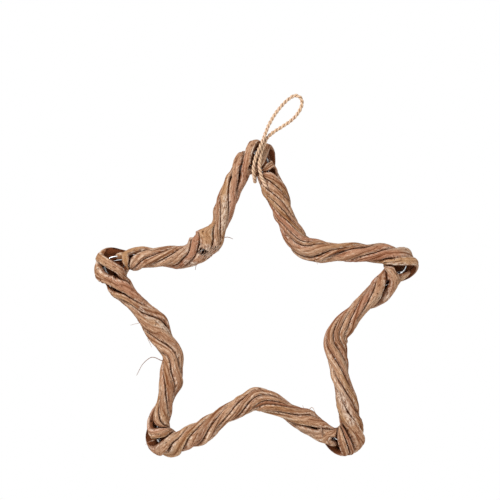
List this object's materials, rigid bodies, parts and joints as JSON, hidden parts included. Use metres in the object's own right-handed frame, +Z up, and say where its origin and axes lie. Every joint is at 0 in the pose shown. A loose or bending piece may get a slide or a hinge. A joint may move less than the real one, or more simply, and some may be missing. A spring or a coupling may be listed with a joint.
{
  "type": "hanging star ornament",
  "caption": "Five-pointed open star wound from flat vine strips round a bright wire frame, with a straw cord loop at its top point to hang it by.",
  "frame": {"origin": "inside top of the hanging loop, where a hook or pin carries the star", "axes": "+Z up as it hangs, the star lies in the XZ plane, its front faces -Y, +X to the right seen from the front"},
  "size_m": [0.2974, 0.0306, 0.335],
  "materials": {
    "vine": "matte",
    "steel_wire": "satin",
    "straw_cord": "matte"
  },
  "bodies": {
    "root": {"wire_frame": "steel_wire", "vine_strip_1": "vine", "vine_strip_2": "vine", "vine_strip_3": "vine", "vine_strip_4": "vine", "vine_strip_5": "vine", "vine_strip_6": "vine", "hanging_cord": "straw_cord"}
  },
  "joints": []
}
